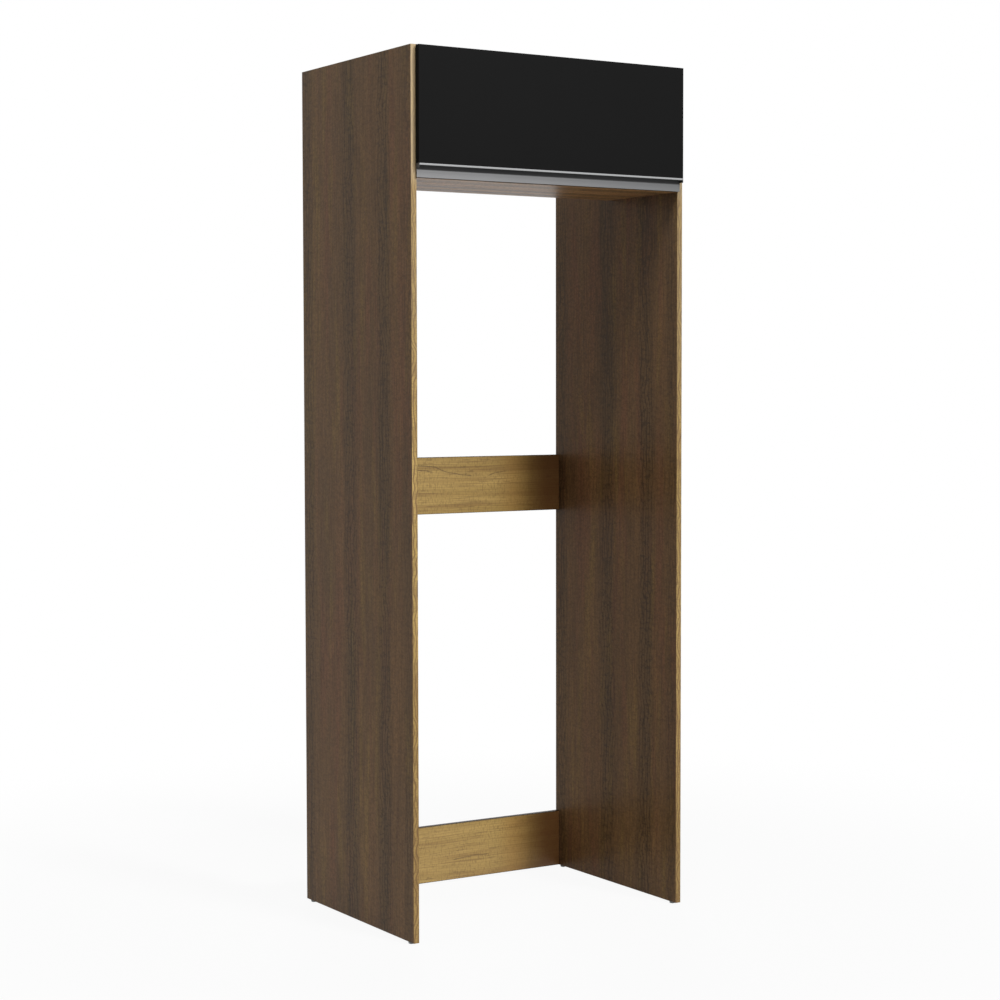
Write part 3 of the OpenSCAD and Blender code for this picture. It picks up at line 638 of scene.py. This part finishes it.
def turned(name, rings, sides=24, shape=None, shut=False, head=None):
    """A solid turned about the X axis from rings of (place, radius). shape alters the radius round the
    turn, shut joins the last ring to the first round a hole, and head closes the first ring its own way."""
    solid = bmesh.new()
    loops = []
    for place, radius in rings:
        if radius == 0:
            loops.append([solid.verts.new((place, 0, 0))] * sides)
            continue
        angles = [2 * math.pi * k / sides for k in range(sides)]
        reach = [shape(place, radius, angle) if shape else radius for angle in angles]
        loops.append([solid.verts.new((place, r * math.cos(angle), r * math.sin(angle)))
                      for r, angle in zip(reach, angles)])
    if shut:
        loops.append(loops[0])
    for one, two in zip(loops, loops[1:]):
        for k in range(sides):
            corners = [one[k], one[(k + 1) % sides], two[(k + 1) % sides], two[k]]
            solid.faces.new(list(dict.fromkeys(corners)))
    if head:
        head(solid, loops[0])
    bmesh.ops.recalc_face_normals(solid, faces=solid.faces)
    mesh = bpy.data.meshes.new(name)
    solid.to_mesh(mesh)
    solid.free()
    return smooth(mesh)


def lathe(name, rings, sides=40, shut=False):
    """The same from rings in millimetres."""
    return turned(name, [(place * mm, radius * mm) for place, radius in rings], sides, shut=shut)


def cross_slot(width, reach, depth):
    """Shuts a screw's head with a flat face and a driver's cross that narrows as it goes down."""
    def cut(solid, rim):
        quarter = [(reach, width), (width, width), (width, reach)]
        outline = quarter + [(-y, z) for y, z in reversed(quarter)]
        outline += [(-y, -z) for y, z in outline]
        top = [solid.verts.new((0, y, z)) for y, z in outline]
        bottom = [solid.verts.new((depth, y * 0.6, z * 0.6)) for y, z in outline]
        edges = [solid.edges.new((top[i - 1], top[i])) for i in range(len(top))]
        edges += [e for e in solid.edges if e.is_boundary and e.verts[0] in rim and e.verts[1] in rim]
        bmesh.ops.triangle_fill(solid, edges=edges, use_beauty=True)
        for i in range(len(top)):
            solid.faces.new((top[i - 1], top[i], bottom[i], bottom[i - 1]))
        solid.faces.new(bottom)
    return cut


def wood_screw(name, d, length, pitch):
    """A countersunk chipboard screw of that diameter and length, in millimetres, with its thread cut in."""
    core, neck, tip = 0.31 * d, 0.45 * d, 0.8 * length

    def thread(place, radius, angle):
        place = place / mm
        if place < neck + 0.1 or place > length - 0.05:
            return radius
        ride = (place / pitch - angle / (2 * math.pi)) % 1
        crest = max(0.0, 1 - abs(ride - 0.5) / 0.24)
        start = min(1.0, (place - neck) / (0.6 * pitch))
        limit = 0.5 * d if place < tip else 0.5 * d * (length - place) / (length - tip)
        return radius + max(0.0, limit * mm - radius) * crest * start

    rings = [(0, 0.9 * d), (0.04 * d, 0.9 * d), (neck * 0.55, 0.68 * d), (neck, 0.42 * d)]
    steps = round((length - neck) / pitch * 8)
    for k in range(1, steps):
        place = neck + (length - neck) * k / steps
        rings.append((place, core if place < tip else max(0.12, core * (length - place) / (length - tip))))
    rings = [(place * mm, radius * mm) for place, radius in rings] + [(length * mm, 0)]
    return turned(name, rings, 20, thread, head=cross_slot(0.11 * d * mm, 0.46 * d * mm, 0.3 * d * mm))


def zinc_plate(t):
    """Bright zinc plating with a faint tumbled grain and a bluish cast."""
    x, y, z = places(t)
    tumble = speckle(t, x * 700.0, y * 700.0, z * 700.0, 3.0)
    cloud = speckle(t, x * 90.0, y * 90.0, z * 90.0)
    colour = blended(t, cloud, paint(176, 180, 186), paint(202, 203, 202))
    return colour, 0.24 + 0.2 * tumble, tumble, 0.00003, {"Metallic": 1.0}


def middle(node):
    """The middle of a node's box, in millimetres."""
    low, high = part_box(node)
    return (low + high) / 2 / mm


zinc = material("zinc plate", zinc_plate)
screw_kinds = {}
joint_at = {joint["name"]: Vector(joint["pos_m"]) / mm for joint in frame["joints"] if "pos_m" in joint}
hinge_y, hinge_z = joint_at["flap_hinge"].yz
leaf_face, leaf_drop = 1.1, 6.6       # from the hinge's pin to a leaf's face, and down to its screws
panel_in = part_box("side_panel_right")[0].x / mm
flap_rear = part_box("flap_panel")[1].y / mm
plate_t = 2                           # the thickness of the plates on the panels and of the flap's angles
mount, wall_angle, flap_angle = (
    middle(f"{name}_right") for name in ("strut_mount", "wall_bracket", "flap_bracket"))
# each row's node and body, a screw's diameter and length, the row's middle, where its screws point, the
# step from one to the next, how many there are, and whether the other side has the same
for node, body, d, length, centre, aim, step, count, both in (
        ("hinge_screws_carcass", "carcass", 3.0, 16, (0, hinge_y + leaf_face, hinge_z - leaf_drop),
         (0, 1, 0), (100, 0, 0), 8, False),
        ("hinge_screws_flap", "flap", 3.0, 12, (0, hinge_y - leaf_face, hinge_z - leaf_drop),
         (0, -1, 0), (100, 0, 0), 8, False),
        ("strut_mount_screws", "carcass", 3.5, 13, (panel_in - plate_t, mount.y, mount.z),
         (1, 0, 0), (0, 0, 30), 2, True),
        ("wall_bracket_screws", "carcass", 3.5, 13, (panel_in - plate_t, wall_angle.y, wall_angle.z),
         (1, 0, 0), (0, 0, 20), 2, True),
        ("flap_bracket_screws", "flap", 3.5, 13, (flap_angle.x - 5, flap_rear + plate_t, flap_angle.z),
         (0, -1, 0), (12, 0, 0), 2, True)):
    if (d, length) not in screw_kinds:
        screw_kinds[d, length] = wood_screw(f"screw_{length}", d, length, 0.42 * d)
    step = Vector(step) * mm
    first = Vector(centre) * mm - step * ((count - 1) / 2)
    screws = set_out(node.replace("screws", "woodscrews"), screw_kinds[d, length], zinc, first, aim, step,
                     count, twist=math.pi, both=both)
    show(screws, body, "zinc_steel", node)


# Dowels. Turned beech pegs of 8 mm, fluted so that air and spare glue get out. Two are glued into each end
# of a board or rail, and pushed into bores in the panel.
def beech(t):
    x, y, z = places(t)
    grain = speckle(t, x * 60.0, y * 900.0, z * 900.0, 3.0)
    rays = rise(t, speckle(t, x * 500.0, y * 1800.0, z * 1800.0, 1.0), 0.6, 0.72)
    colour = blended(t, grain, paint(196, 160, 116), paint(224, 194, 150))
    colour = blended(t, rays * 0.5, colour, paint(166, 122, 82))
    return colour, 0.6 + 0.2 * grain, grain - rays, 0.00006, {"IOR": 1.45}


carcass_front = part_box("front_band_right")[0].y / mm
box_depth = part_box("back_board")[0].y / mm - carcass_front
board_zs = middle("bottom_board").z, middle("top_board").z
rail_zs = middle("lower_rail").z, middle("middle_rail").z
rail_height = 2 * (rail_zs[0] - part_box("lower_rail")[0].z / mm)
peg_in, board_peg_edge, rail_peg_edge = 22, 30, 24        # how deep in its board, and how far from the edges
peg_l, peg_r, peg_ease, flute, flutes = 32 * mm, 4 * mm, 1.2 * mm, 0.35 * mm, 12
peg = turned("dowel", [(0, 0), (0, 0.7 * peg_r), (peg_ease, peg_r), (peg_l - peg_ease, peg_r),
                       (peg_l, 0.7 * peg_r), (peg_l, 0)], 48,
             lambda place, radius, angle: radius - flute * max(0.0, math.cos(flutes * angle)))
beech_wood = material("turned beech", beech)
pegs = []
for zs, y, z, step in (
        (board_zs, carcass_front + board_peg_edge, board_zs[0], (0, box_depth - 2 * board_peg_edge, 0)),
        (rail_zs, middle("lower_rail").y, rail_zs[0] - rail_height / 2 + rail_peg_edge,
         (0, 0, rail_height - 2 * rail_peg_edge))):
    pegs.append(set_out("pegs", peg, beech_wood, Vector((panel_in - peg_in, y, z)) * mm, (1, 0, 0),
                        Vector(step) * mm, 2, Vector((0, 0, zs[1] - zs[0])) * mm, 2))
show(joined("fluted_dowels", pegs), "carcass", "beech_dowel", "dowels")


# Cam bolts and cam locks. A steel bolt stands in the panel with its head in a die-cast lock, which a half
# turn tightens. Plastic caps in the walnut colour hide the four that show inside the cupboard.
show(eased("cam_bolts", "joint_bolts", 0, (zinc,)), "carcass", "zinc_steel", "cam_bolts")
show(eased("cam_locks", "joint_cams", 0, (zinc,)), "carcass", "zinc_steel", "cam_locks")
walnut_plastic = material("walnut plastic", moulded((92, 70, 46), (104, 80, 52), 0.36))
cover = lathe("cover", [
    (-1.5, 0), (-1.5, 0.5), (-1.35, 0.65), (0, 0.65), (0, 8.6), (0.12, 8.75), (0.35, 8.7), (0.62, 8.35),
    (0.82, 7.4), (0.94, 5.4), (0.99, 3.0), (1.0, 0)], 48)
lock_in, lock_edge = 34, 62              # how far a lock is from the board's end, and from its edges
cover_at = Vector((panel_in - lock_in, carcass_front + lock_edge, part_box("bottom_board")[1].z / mm)) * mm
cover_step = Vector((0, box_depth - 2 * lock_edge, 0)) * mm
show(set_out("lock_covers", cover, walnut_plastic, cover_at, (0, 0, 1), cover_step, 2), "carcass",
     "walnut_board", "cam_caps")


# Back board nails. Wire nails with flat round heads, driven through the hardboard into the rear edges of
# the cupboard's boards, seven in each.
def nail(name, length, shank_r, head_r, head_h):
    """A nail along X with its head's underside at the origin. Sizes are in millimetres."""
    return lathe(name, [
        (-head_h, 0), (-0.97 * head_h, 0.55 * head_r), (-0.7 * head_h, 0.9 * head_r),
        (-0.35 * head_h, head_r), (0, head_r), (0, shank_r), (length - 4 * shank_r, shank_r),
        (length, 0)], 20)


nail_count, nail_pitch = 7, 0.105
first_nail = ((1 - nail_count) / 2 * nail_pitch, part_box("back_board")[1].y, board_zs[0] * mm)
show(set_out("hardboard_nails", nail("wire_nail", 20, 0.7, 2.1, 0.8), zinc, first_nail, (0, -1, 0),
             (nail_pitch, 0, 0), nail_count, (0, 0, (board_zs[1] - board_zs[0]) * mm), 2, both=False),
     "carcass", "zinc_steel", "back_board_nails")


# Glides. Round grey plastic feet that keep the panels off a wet floor. Each is moulded with a sunk hole,
# and one nail driven up through it holds it under its panel.
glide = lathe("glide", [
    (0, 2.7), (0, 5.7), (0.12, 6.15), (0.5, 6.65), (1.2, 7.2), (1.9, 7.45), (2.6, 7.5), (4.7, 7.5),
    (5.0, 7.25), (5.0, 0.95), (2.0, 0.95), (2.0, 2.7)], shut=True)
foot_edge, nail_up = 25, 2.0              # from a panel's front or rear, and up to the nail's head
panel_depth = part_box("side_panel_right")[1].y / mm - carcass_front
foot_at = Vector((middle("side_panel_right").x, carcass_front + foot_edge, 0)) * mm
foot_step = Vector((0, panel_depth - 2 * foot_edge, 0)) * mm
show(set_out("foot_glides", glide, grey_plastic, foot_at, (0, 0, 1), foot_step, 2), "carcass",
     "grey_plastic", "glides")
show(set_out("foot_nails", nail("foot_nail", 17.2, 0.9, 2.5, 0.8), zinc,
             foot_at + Vector((0, 0, nail_up * mm)), (0, 0, 1), foot_step, 2), "carcass", "zinc_steel",
     "glide_nails")


# Wall brackets. Bent steel angles, zinc plated, that tie the unit to the wall. Each is screwed to the
# inside of its panel near the top.
for side in ("left", "right"):
    angle = eased(f"wall_bracket_{side}", f"wall_angle_{side}", 0, (zinc,), corner=("z", 1.6 * mm))
    show(angle, "carcass", "zinc_steel", f"wall_bracket_{side}")


# Hinge. One long piano hinge: two leaves of plated steel strip, rolled in turn round one pin, and screwed
# to the top board's front edge and to the flap.
for node, name, body in (("hinge_leaf_carcass", "piano_leaf_carcass", "carcass"),
                         ("hinge_leaf_flap", "piano_leaf_flap", "flap")):
    show(eased(node, name, 0, (zinc,)), body, "zinc_steel", node)
pin_l, pin_r = 2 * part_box("hinge_pin")[1].x / mm, 0.9
pin = lathe("pin", [(0, 0), (0, 0.6 * pin_r), (0.3, pin_r), (pin_l - 0.3, pin_r), (pin_l, 0.6 * pin_r),
                    (pin_l, 0)], 24)
show(set_out("piano_pin", pin, zinc, Vector((-pin_l / 2, hinge_y, hinge_z)) * mm, (1, 0, 0), both=False),
     "carcass", "zinc_steel", "hinge_pin")


# Strut fittings. Pressed steel plates, zinc plated, with riveted studs for the gas struts: a flat one with
# a ball stud screwed to each panel, and an angle at each end of the flap.
for side in ("left", "right"):
    plate = eased(f"strut_mount_{side}", f"ball_stud_plate_{side}", 0, (zinc,), corner=("x", 3 * mm))
    show(plate, "carcass", "zinc_steel", f"strut_mount_{side}")
    angle = eased(f"flap_bracket_{side}", f"flap_angle_{side}", 0, (zinc,), corner=("y", 3 * mm))
    show(angle, "flap", "zinc_steel", f"flap_bracket_{side}")


# Gas struts. A painted steel tube rolled over a nylon gland, a chromed rod with a piston on its end, and a
# moulded socket on each end that clips on its stud.
def chrome(t):
    x, y, z = places(t)
    ground = speckle(t, x * 1400.0, y * 1400.0, z * 1400.0)
    colour = blended(t, ground, paint(214, 216, 220), paint(228, 229, 232))
    return colour, 0.1 + 0.08 * ground, ground, 0.00001, {"Metallic": 1.0}


def black_paint(t):
    """Sprayed black enamel with its faint orange peel."""
    x, y, z = places(t)
    peel = speckle(t, x * 420.0, y * 420.0, z * 420.0)
    dust = rise(t, speckle(t, x * 2400.0, y * 2400.0, z * 2400.0, 1.0), 0.66, 0.74)
    colour = blended(t, dust * 0.4, paint(24, 24, 25), paint(52, 52, 54))
    return colour, 0.24 + 0.12 * peel + 0.2 * dust, peel, 0.00006, {"IOR": 1.52}


stud_out = 16            # from the flap's rear face to the middle of its stud
lower_stud = joint_at["strut_swing_right"]
upper_stud = Vector((lower_stud.x, flap_rear + stud_out, flap_angle.z))
span = (upper_stud - lower_stud).length
# places along the strut from its lower stud, in millimetres
tube_low, tube_high, piston_low, seat = 28.0, span - 14, span - 32, 7.0
tube = lathe("tube", [
    (tube_high - 8, 0), (tube_high - 8, 6.5), (tube_low + 0.3, 6.5), (tube_low, 6.7), (tube_low, 7.1),
    (tube_low + 0.4, 7.5), (tube_low + 3.4, 7.5), (tube_low + 4, 7.3), (tube_low + 4.5, 7.05),
    (tube_low + 5, 7.0), (tube_low + 5.5, 7.05), (tube_low + 6, 7.3), (tube_low + 6.6, 7.5),
    (tube_high - 5, 7.5), (tube_high - 3.2, 7.3), (tube_high - 1.6, 6.7), (tube_high - 0.5, 5.6),
    (tube_high, 4.2), (tube_high, 3), (span - seat, 3), (span - seat, 0)])
rod = lathe("rod", [(seat, 0), (seat, 2.7), (seat + 0.3, 3), (piston_low - 0.3, 3), (piston_low, 2.8),
                    (piston_low, 2), (piston_low + 5.7, 2), (piston_low + 6, 1.7), (piston_low + 6, 0)])
gland = lathe("gland", [(tube_low, 3.05), (tube_low, 3.6), (tube_low + 0.5, 3.9), (tube_low + 0.5, 5.6),
                        (tube_low, 5.9), (tube_low, 6.3), (tube_low + 0.2, 6.45), (tube_low + 7.8, 6.45),
                        (tube_low + 8, 6.25), (tube_low + 8, 3.05)], shut=True)
piston = lathe("piston", [
    (piston_low, 2.05), (piston_low, 6.1), (piston_low + 0.3, 6.4), (piston_low + 1.8, 6.4),
    (piston_low + 1.8, 5.7), (piston_low + 4.2, 5.7), (piston_low + 4.2, 6.4), (piston_low + 5.7, 6.4),
    (piston_low + 6, 6.1), (piston_low + 6, 2.05)], shut=True)
chromed, enamel = material("hard chrome", chrome), material("black enamel", black_paint)
for side, flip in (("left", -1), ("right", 1)):
    start = Vector((lower_stud.x * flip, lower_stud.y, lower_stud.z)) * mm
    for kind, shape, finish, body, slot in (
            ("tube", tube, enamel, "tube", "painted_tube"), ("rod", rod, chromed, "rod", "chromed_rod"),
            ("gland", gland, black_plastic, "tube", "black_plastic"),
            ("piston", piston, black_plastic, "rod", "black_plastic")):
        part = set_out(f"gas_{kind}_{side}", shape, finish, start, upper_stud - lower_stud, both=False)
        show(part, f"{body}_{side}", slot, f"strut_{kind}_{side}")
    for kind in ("rod", "tube"):
        socket = eased(f"strut_{kind}_end_{side}", f"{kind}_socket_{side}", 0, (black_plastic,))
        show(socket, f"{kind}_{side}", "black_plastic", f"strut_{kind}_end_{side}")


# Bumpers. Two soft grey rubber domes stuck to the rear of the handle's flange, which meet the bottom
# board's front edge when the flap closes.
bumper = lathe("bumper", [
    (0, 0), (0, 4.7), (0.15, 4.95), (0.4, 5.0), (2.3, 5.0), (2.9, 4.85), (3.5, 4.4), (3.95, 3.6),
    (4.2, 2.5), (4.3, 1.4), (4.3, 0)], 32)
grey_rubber = material("grey rubber", moulded((150, 152, 152), (164, 166, 166), 0.55))
bumper_edge = 100 * mm           # in from the unit's side
bumper_at = (cad_box[1].x - bumper_edge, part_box("handle_profile")[1].y, board_zs[0] * mm)
show(set_out("soft_bumpers", bumper, grey_rubber, bumper_at, (0, 1, 0)), "flap", "grey_plastic",
     "flap_bumpers")


# Studio. A pale floor that keeps a soft shadow and a white surround. A soft key lamp stands in front, to
# the right, two weak ones fill from the left, one shines from the rear right, and one hangs over the front
# left corner.
def seen(t):
    """1 where the eye, a reflection or glass looks, and 0 for the light that falls on the object."""
    path = t.node("ShaderNodeLightPath")
    return t.sum("MAXIMUM", t.sum("MAXIMUM", path.out("Is Camera Ray"), path.out("Is Glossy Ray")),
                 path.out("Is Transmission Ray"))


floor_r, near_white, fade_from, fade_to = 3.0, 0.93, 0.9, 2.6      # its whiteness goes from near_white to 1
disc = bmesh.new()
bmesh.ops.create_circle(disc, cap_ends=True, segments=96, radius=floor_r)
floor_mesh = bpy.data.meshes.new("floor")
disc.to_mesh(floor_mesh)
disc.free()
floor_finish = bpy.data.materials.new("pale floor")
floor_finish.use_nodes = True
floor_finish.node_tree.nodes.clear()
t = Wire(floor_finish.node_tree)
x, y = places(t)[:2]
out_by = t.sum("SQRT", x * x + y * y)
pale = t.node("ShaderNodeBsdfDiffuse", {}, {"Color": (0.55, 0.55, 0.55, 1)})
white = t.node("ShaderNodeEmission", {}, {"Color": (1, 1, 1, 1), "Strength": 1.0})
share = seen(t) * (near_white + (1 - near_white) * rise(t, out_by, fade_from, fade_to))
mixed = t.node("ShaderNodeMixShader", {}, {0: share, 1: pale, 2: white})
t.node("ShaderNodeOutputMaterial", {}, {"Surface": mixed})
floor_mesh.materials.append(floor_finish)
floor = bpy.data.objects.new("floor", floor_mesh)
bpy.context.scene.collection.objects.link(floor)

world = bpy.data.worlds.new("surround")
world.use_nodes = True
world.node_tree.nodes.clear()
t = Wire(world.node_tree)
ambient = 0.17           # the surround looks white, and lights the object with this much of it
strength = ambient + (1.0 - ambient) * seen(t)
t.node("ShaderNodeOutputWorld", {}, {"Surface": t.node("ShaderNodeBackground", {}, {
    "Color": (1, 1, 1, 1), "Strength": strength})})
bpy.context.scene.world = world

# bearings are in degrees from the front toward the right, and climbs and spreads in degrees too
for name, bearing, climb, power, spread in (
        ("key lamp", 16, 34, 2.4, 12), ("front fill lamp", -72, 12, 0.28, 30),
        ("rear fill lamp", -108, 12, 0.28, 30), ("back lamp", 150, 30, 1.2, 20)):
    lamp = bpy.data.lights.new(name, "SUN")
    lamp.energy, lamp.angle = power, math.radians(spread)
    stand = bpy.data.objects.new(name, lamp)
    bearing, climb = math.radians(bearing), math.radians(climb)
    shine = Vector((-math.sin(bearing) * math.cos(climb), math.cos(bearing) * math.cos(climb),
                    -math.sin(climb)))
    stand.rotation_euler = shine.to_track_quat("-Z", "Y").to_euler()
    bpy.context.scene.collection.objects.link(stand)

lamp = bpy.data.lights.new("high lamp", "AREA")
lamp.size, lamp.energy = 0.7, 38
stand = bpy.data.objects.new("high lamp", lamp)
stand.location, aimed_at = (-0.5, -1.3, 3.7), Vector((-0.4, -0.27, 1.7))
stand.rotation_euler = (aimed_at - stand.location).to_track_quat("-Z", "Y").to_euler()
bpy.context.scene.collection.objects.link(stand)

bpy.context.scene.view_settings.view_transform = "Standard"
